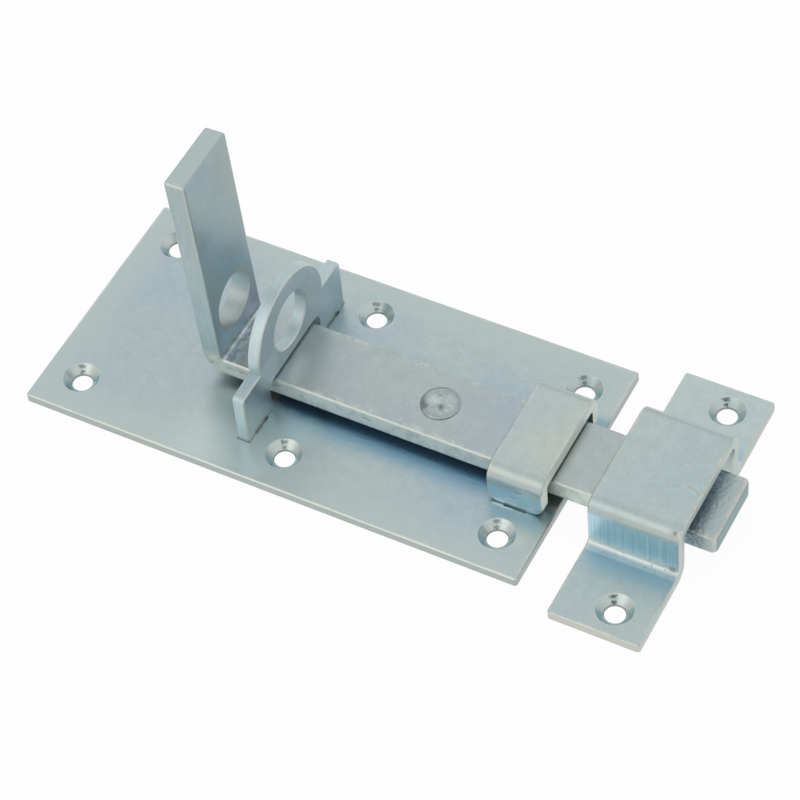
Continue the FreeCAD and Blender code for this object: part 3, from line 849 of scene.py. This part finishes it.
@dataclass
class BoltBar:
    """The flat bar with its upturned handle, and the rivet through it."""

    half_width: float = 0.010
    top_z: float = 0.0104
    bottom_z: float = 0.0049
    tip_x: float = 0.1073
    handle_x: float = -0.0242
    hole_z: float = 0.022685
    hole_radius: float = 0.0074
    rivet_x: float = 0.0308
    head_radius: float = 0.0052
    head_height: float = 0.0018
    shank_radius: float = 0.0030
    foot_radius: float = 0.0050
    foot_bottom: float = 0.00255
    voxel: float = 0.00013

    def dress(self, groups: PlatingGroups) -> None:
        """Gives the bar its finish.

        Args:
            groups: The shared node groups.
        """
        finish = Zinc(
            "zinc_bolt_bar",
            base=(0.405, 0.458, 0.46),
            cool=(0.385, 0.45, 0.485),
            warm=(0.43, 0.475, 0.45),
            worn=(0.58, 0.60, 0.56),
        )
        coat = Coat(finish, groups)
        graph, place = coat.graph, coat.place
        reach_y, across = graph.size(place.y), graph.size(place.facing_y)
        self._shade_sides(coat, graph.span(across, 0.75, 0.95))
        self._pit_tip(coat)
        self._blue_handle(coat)
        self._scuff_bend(coat, reach_y)
        corner = graph.both(
            graph.span(across, 0.25, 0.5),
            graph.fall(across, 0.85, 0.97),
            graph.span(reach_y, self.half_width - 0.0011, self.half_width - 0.0008),
        )
        broken = graph.span(coat.noise(700.0, 3.0, 0.6), 0.35, 0.55, 0.35, 1.0)
        coat.tint(finish.worn, corner, broken, 0.8)
        edge = graph.minus(self.half_width, reach_y)
        coat.wear(edge, 0.0006, graph.span(place.facing_z, 0.5, 0.8), 0.6)
        coat.put_on("bolt_bar")

    def _shade_sides(self, coat: Coat, side: Socket) -> None:
        """Lays the pale, blotched sides of the bar and the bluer ones of its handle.

        Args:
            coat: The bar's coat.
            side: Mask of the faces across the bar.
        """
        graph, place = coat.graph, coat.place
        on_run = graph.fall(place.z, self.top_z, self.top_z + 0.004)
        on_handle = graph.minus(1.0, on_run)
        coat.tint((0.71, 0.80, 0.76), side, on_run, 0.9)
        coat.tint((0.45, 0.56, 0.57), side, on_handle, 0.85)
        coat.tint((0.42, 0.60, 0.67), side, on_handle, graph.span(place.z, 0.018, 0.042, 0.6, 0.0))
        coat.shade(0.9, side, graph.span(place.z, 0.035, 0.062))
        coat.dull(0.6, 0.5, side)
        blotch = graph.fall(coat.noise(380.0, 4.0, 0.65), 0.40, 0.52)
        coat.shade(0.86, side, on_run, blotch)
        ragged = graph.frayed(place.z, coat.noise(420.0, 4.0, 0.65), 0.0026)
        coat.shade(0.6, side, graph.fall(ragged, 0.0064, 0.0074))
        crack = graph.both(
            graph.near(ragged, 0.0094, 0.0001, 0.0002),
            graph.fall(place.x, 0.020, 0.034),
            graph.span(blotch, 0.2, 0.8),
        )
        coat.tint((0.25, 0.34, 0.38), side, on_run, crack, 0.7)
        upright = coat.streaks((900.0, 900.0, 120.0), 4.0)
        coat.shade(graph.span(upright, 0.3, 0.7, 0.93, 1.05), side, on_handle)
        coat.emboss(0.08, side, coat.noise(500.0, 4.0, 0.6))

    def _pit_tip(self, coat: Coat) -> None:
        """Pits the top of the tip, paints the keeper's reflection and shade on it and wears its end.

        Args:
            coat: The bar's coat.
        """
        graph, place = coat.graph, coat.place
        tip = graph.span(place.x, 0.094, 0.101)
        leather = coat.noise(1100.0, 3.0, 0.65)
        coat.emboss(0.13, tip, leather, graph.span(place.facing_z, 0.5, 0.8))
        coat.gloss(0.34, tip)
        coat.tint((0.43, 0.50, 0.50), tip, 0.8)
        # Painted reflection and shade of the keeper on the tip's top, in the plating's blue, with pale
        # flecks
        ragged = graph.frayed(place.x, leather, 0.0045)
        keeper_reflection_and_blue = graph.both(tip, graph.fall(ragged, 0.1030, 0.1062))
        coat.tint((0.42, 0.58, 0.69), keeper_reflection_and_blue, 0.75)
        flecks = graph.span(coat.noise(1900.0, 3.0, 0.7), 0.52, 0.64)
        coat.tint((0.70, 0.81, 0.86), keeper_reflection_and_blue, flecks, 0.65)
        coat.shade(graph.span(leather, 0.35, 0.65, 0.78, 1.15), keeper_reflection_and_blue)
        # Painted shade: the near side of the tip dark inside the keeper, fading towards the end
        cheek = graph.both(
            graph.fall(place.facing_y, -0.95, -0.75),
            graph.fall(place.x, self.tip_x - 0.0045, self.tip_x - 0.0015, 0.25),
        )
        coat.tint((0.12, 0.20, 0.24), tip, cheek, graph.span(leather, 0.42, 0.58, 0.9, 0.5))
        end = graph.minus(self.tip_x, place.x)
        worn = coat.wear(end, 0.0009, graph.span(place.facing_z, 0.4, 0.8), 0.9)
        coat.tint((0.60, 0.54, 0.48), worn, 0.7)
        coat.tint((0.15, 0.27, 0.28), graph.span(place.facing_x, 0.7, 0.95), tip, 0.9)
        arris = graph.both(graph.span(place.facing_x, 0.3, 0.6), graph.fall(place.facing_y, -0.6, -0.3))
        coat.tint((0.37, 0.34, 0.29), tip, arris, graph.span(leather, 0.4, 0.5), 0.8)

    def _blue_handle(self, coat: Coat) -> None:
        """Lays the teal and violet of the handle's inner face, lighter towards its foot as painted
        light, a painted highlight round the hole, and its paler top.

        Args:
            coat: The bar's coat.
        """
        graph, place = coat.graph, coat.place
        inner = graph.both(
            graph.span(place.z, self.top_z, self.top_z + 0.002),
            graph.span(place.facing_x, 0.6, 0.9),
        )
        coat.tint((0.33, 0.44, 0.475), inner, 0.85)
        # Painted light: the inner face lighter and bluer towards its foot
        coat.tint((0.45, 0.60, 0.67), inner, graph.fall(place.z, 0.022, 0.060), 0.9)
        foot = graph.both(inner, graph.fall(place.z, 0.012, 0.028))
        coat.tint((0.47, 0.64, 0.78), foot, graph.span(coat.noise(120.0, 2.0), 0.35, 0.6), 0.7)
        violet = graph.both(graph.fall(place.z, 0.018, 0.032), graph.span(place.y, -0.003, 0.006))
        coat.tint((0.66, 0.61, 0.76), inner, violet, 0.6)
        drift = coat.noise(85.0, 3.0, 0.6)
        coat.tint((0.42, 0.50, 0.44), inner, graph.span(drift, 0.5, 0.68), 0.4)
        coat.shade(graph.span(drift, 0.3, 0.5, 0.91, 1.04), inner)
        olive = graph.both(graph.span(place.y, -0.004, 0.008), graph.span(place.z, 0.026, 0.046))
        coat.tint((0.36, 0.43, 0.40), inner, olive, 0.6)
        coat.gloss(0.42, inner)
        # A light line round the hole: a painted highlight on its rounded edge, laid with the worn colour
        rise = graph.minus(place.z, self.hole_z)
        rim = graph.minus(graph.radius(place.y, rise), self.hole_radius)
        coat.wear(rim, 0.0008, inner, 0.9)
        crown = graph.both(graph.span(place.z, 0.068, 0.0695), graph.span(place.facing_z, 0.5, 0.8))
        coat.tint((0.43, 0.51, 0.50), crown, 0.85)

    def _scuff_bend(self, coat: Coat, reach_y: Socket) -> None:
        """Scuffs the inside of the bend and the near top edge bright.

        Args:
            coat: The bar's coat.
            reach_y: Distance from the middle line.
        """
        graph, place = coat.graph, coat.place
        fold = graph.both(
            graph.near(place.x, self.handle_x + 0.0015, 0.0012, 0.002),
            graph.near(place.z, self.top_z + 0.0004, 0.0005, 0.001),
        )
        flaky = graph.span(coat.noise(650.0, 4.0, 0.65), 0.46, 0.56)
        coat.tint((0.66, 0.73, 0.73), fold, flaky, 0.75)
        brink = graph.both(
            graph.span(reach_y, self.half_width - 0.0022, self.half_width - 0.0008),
            graph.span(place.facing_z, 0.4, 0.8),
            graph.span(coat.noise(420.0, 4.0, 0.7), 0.52, 0.6),
        )
        coat.tint((0.56, 0.60, 0.57), brink, 0.6)

    def make_rivet(self, groups: PlatingGroups) -> None:
        """Hammers the rivet and sets it in place of the plain one.

        Args:
            groups: The shared node groups.
        """
        head = self._hammer_head()
        shank = self._add_round(self.shank_radius, self.foot_bottom + 0.0005, self.top_z + 0.0003)
        foot = self._add_round(self.foot_radius, self.foot_bottom, self.bottom_z)
        bpy.ops.object.select_all(action="DESELECT")
        for item in (shank, foot, head):
            item.select_set(True)
        bpy.context.view_layer.objects.active = head
        bpy.ops.object.join()
        head.name = "hammered_rivet"
        bpy.ops.object.shade_smooth_by_angle(angle=math.radians(40.0))
        head.data.materials.clear()
        head.data.materials.append(self._rivet_finish(groups))
        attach(head, "bolt")
        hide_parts("stop_rivet")
        LOG.info("hammered_rivet has %d faces", len(head.data.polygons))

    def _hammer_head(self) -> bpy.types.Object:
        """Makes the domed head and flattens it with a few blows.

        Returns:
            The head.
        """
        bpy.ops.object.select_all(action="DESELECT")
        dome = (self.head_radius**2 + self.head_height**2) / (2 * self.head_height)
        bpy.ops.mesh.primitive_uv_sphere_add(segments=96, ring_count=72, radius=dome)
        head = bpy.context.object
        bpy.ops.object.mode_set(mode="EDIT")
        bpy.ops.mesh.select_all(action="SELECT")
        middle = Vector((self.rivet_x, 0.0, self.top_z + self.head_height - dome))
        bpy.ops.transform.translate(value=middle)
        base = (self.rivet_x, 0.0, self.top_z)
        bpy.ops.mesh.bisect(plane_co=base, plane_no=(0, 0, -1), clear_outer=True, use_fill=True)
        for turn, tilt, depth in BLOWS:
            slope, way = math.radians(tilt), math.radians(turn)
            lean = math.sin(slope)
            normal = Vector((math.cos(way) * lean, math.sin(way) * lean, math.cos(slope)))
            flat = middle + normal * (dome - depth * 0.001)
            bpy.ops.mesh.select_all(action="SELECT")
            bpy.ops.mesh.bisect(plane_co=flat, plane_no=normal, clear_outer=True, use_fill=True)
        bpy.ops.object.mode_set(mode="OBJECT")
        self._apply(head, "REMESH", mode="VOXEL", voxel_size=self.voxel)
        self._apply(head, "SMOOTH", factor=0.5, iterations=6)
        return head

    def _add_round(self, radius: float, low: float, high: float) -> bpy.types.Object:
        """Adds an upright round bar with eased ends.

        Args:
            radius: Its radius.
            low: Its lower end.
            high: Its upper end.

        Returns:
            The round bar.
        """
        bpy.ops.object.select_all(action="DESELECT")
        bpy.ops.mesh.primitive_cylinder_add(vertices=64, radius=radius, depth=high - low)
        made = bpy.context.object
        bpy.ops.object.mode_set(mode="EDIT")
        bpy.ops.mesh.select_all(action="SELECT")
        bpy.ops.transform.translate(value=(self.rivet_x, 0.0, (low + high) / 2))
        bpy.ops.object.mode_set(mode="OBJECT")
        self._apply(made, "BEVEL", width=0.0002, segments=2)
        return made

    def _apply(self, piece: bpy.types.Object, kind: str, **settings: object) -> None:
        """Applies a modifier to the active piece.

        Args:
            piece: The piece.
            kind: The modifier's type.
            settings: Values of its properties.
        """
        modifier = piece.modifiers.new(kind.lower(), kind)
        for name, value in settings.items():
            setattr(modifier, name, value)
        bpy.ops.object.modifier_apply(modifier=modifier.name)

    def _rivet_finish(self, groups: PlatingGroups) -> bpy.types.Material:
        """Makes the finish of the hammered head, with painted shade on its rim and in its dimples and a
        painted highlight on the dome.

        Args:
            groups: The shared node groups.

        Returns:
            The material.
        """
        finish = Zinc(
            "zinc_rivet",
            base=(0.43, 0.485, 0.49),
            cool=(0.40, 0.465, 0.48),
            warm=(0.45, 0.495, 0.485),
            roughness=0.22,
            grain_depth=0.006,
            cloud_scale=160.0,
        )
        coat = Coat(finish, groups)
        graph, place = coat.graph, coat.place
        off_x = graph.minus(place.x, self.rivet_x)
        radius = graph.radius(off_x, place.y)
        # Painted shade: the sloping rim of the head darker than its crown
        ringed = graph.frayed(radius, coat.noise(500.0, 2.0), 0.0007)
        coat.shade(0.85, graph.span(ringed, 0.0041, 0.0047))
        # Mottled tone inside the rim, which also stands in for the dome's uneven reflections as painted
        # light
        uneven = coat.noise(330.0, 3.0, 0.6)
        inside = graph.fall(radius, 0.0034, 0.0046, 0.2)
        coat.shade(graph.span(uneven, 0.35, 0.65, 0.9, 1.1), inside)
        coat.emboss(0.05, uneven)
        coat.shade(graph.span(coat.noise(1300.0, 3.0, 0.7), 0.35, 0.65, 0.94, 1.06), 1.0)
        # Painted highlight: a soft bright patch on the dome left of the middle
        highlight_distance = graph.radius(graph.math("ADD", off_x, 0.0018), graph.math("ADD", place.y, 0.0006))
        coat.shade(1.14, graph.fall(highlight_distance, 0.0004, 0.0022))
        # Dimples: hollows embossed into the head and painted darker as shade
        dimples = (0.0012, -0.0020, 0.0011, 0.4), (-0.0006, 0.0012, 0.0010, 0.8)
        for along, across, size, level in dimples:
            gap = graph.radius(graph.minus(off_x, along), graph.minus(place.y, across))
            hollow = graph.fall(gap, 0.0, size)
            coat.emboss(-0.12, hollow)
            coat.shade(level, hollow)
        return coat.finish_off()


@dataclass
class Studio:
    """Floor, light and camera."""

    floor_half: float = 3.0
    azimuth: float = 0.565
    elevation: float = 0.891
    roll: float = -0.109
    lens: float = 140.678
    shift_right: float = 0.01681
    shift_up: float = -0.00255
    distance: float = 0.7699

    def build(self) -> None:
        """Adds the floor, the lamps, the world and the camera."""
        self._floor()
        self._world()
        self._softbox("key_softbox", (-0.45, 0.75, 1.1), 1.2, 0.6)
        self._softbox("fill_softbox", (-0.35, -1.1, 0.75), 1.0, 1.5)
        self._camera()

    def _floor(self) -> None:
        """Lays a plain pale floor just under the back faces."""
        bpy.ops.mesh.primitive_plane_add(size=2 * self.floor_half, location=(0.0, 0.0, -0.0001))
        floor = bpy.context.object
        floor.name = "studio_floor"
        material = bpy.data.materials.new("pale_floor")
        material.use_nodes = True
        graph = Graph(material.node_tree)
        graph.tree.nodes.clear()
        paint = graph.fill(graph.node("BsdfDiffuse"), (0.9, 0.9, 0.9))
        rays = graph.node("LightPath").outputs
        seen = graph.math("MAXIMUM", rays["Is Camera Ray"], rays["Is Glossy Ray"])
        seen = graph.math("MAXIMUM", seen, rays["Is Transmission Ray"])
        glow = graph.node("Emission").outputs[0]
        mixed = graph.fill(graph.node("MixShader"), graph.both(seen, 0.95), paint, glow)
        graph.load(graph.node("OutputMaterial"), Surface=mixed)
        floor.data.materials.append(material)
        LOG.info("floor laid")

    def _world(self) -> None:
        """Surrounds the bolt with soft light, a little warmer from the near side."""
        world = bpy.data.worlds.new("studio_world")
        bpy.context.scene.world = world
        world.use_nodes = True
        graph = Graph(world.node_tree)
        graph.tree.nodes.clear()
        split = graph.node("SeparateXYZ")
        graph.fill(split, graph.node("TexCoord").outputs["Generated"])
        _, across, height = split.outputs
        near_side = graph.both(graph.fall(across, -0.9, 0.1), graph.fall(height, 0.2, 0.8, 0.3))
        colour = graph.blend(near_side, (0.98, 1.0, 1.01), (1.08, 1.03, 0.95))
        level = graph.span(height, 0.0, 0.9, 0.80, 0.90)
        sky = graph.fill(graph.node("Background"), colour, level)
        white = graph.fill(graph.node("Background"), (1.0, 1.0, 1.0))
        seen = graph.node("LightPath").outputs["Is Camera Ray"]
        mixed = graph.fill(graph.node("MixShader"), seen, sky, white)
        graph.load(graph.node("OutputWorld"), Surface=mixed)

    def _softbox(self, name: str, place: Triple, size: float, power: float) -> None:
        """Hangs one square lamp that faces the bolt.

        Args:
            name: The lamp's name.
            place: Where it hangs.
            size: Its side.
            power: Its power in watts.
        """
        light = bpy.data.lights.new(name, "AREA")
        light.shape = "SQUARE"
        light.size = size
        light.energy = power
        lamp = bpy.data.objects.new(name, light)
        bpy.context.scene.collection.objects.link(lamp)
        lamp.location = place
        lamp.rotation_euler = Vector(place).to_track_quat("Z", "Y").to_euler()
        LOG.info("%s hung", name)

    def _camera(self) -> None:
        """Sets the camera at the photograph's viewing angle."""
        back = Vector((
            math.sin(self.azimuth) * math.cos(self.elevation),
            -math.cos(self.azimuth) * math.cos(self.elevation),
            math.sin(self.elevation),
        ))
        level_right = Vector((0.0, 0.0, 1.0)).cross(back).normalized()
        level_up = back.cross(level_right)
        turn_cos, turn_sin = math.cos(self.roll), math.sin(self.roll)
        right = level_right * turn_cos + level_up * turn_sin
        up = level_up * turn_cos - level_right * turn_sin
        data = bpy.data.cameras.new("studio_camera")
        data.lens = self.lens
        data.sensor_width = 36.0
        camera = bpy.data.objects.new("studio_camera", data)
        bpy.context.scene.collection.objects.link(camera)
        turned = Matrix((right, up, back)).transposed().to_4x4()
        turned.translation = right * self.shift_right + up * self.shift_up + back * self.distance
        camera.matrix_world = turned
        bpy.context.scene.camera = camera
        LOG.info("camera set")


def main() -> None:
    """Dresses the bolt and sets it in the studio."""
    logging.basicConfig(level=logging.INFO, format="%(name)s: %(message)s")
    bpy.ops.object.select_all(action="DESELECT")
    bpy.context.scene.view_settings.view_transform = "Standard"
    groups = PlatingGroups()
    bar = BoltBar()
    for piece in (BasePlate(), EyePlate(), GuideStrap(), Keeper(), bar):
        piece.dress(groups)
    bar.make_rivet(groups)
    Studio().build()


if __name__ == "__main__":
    main()
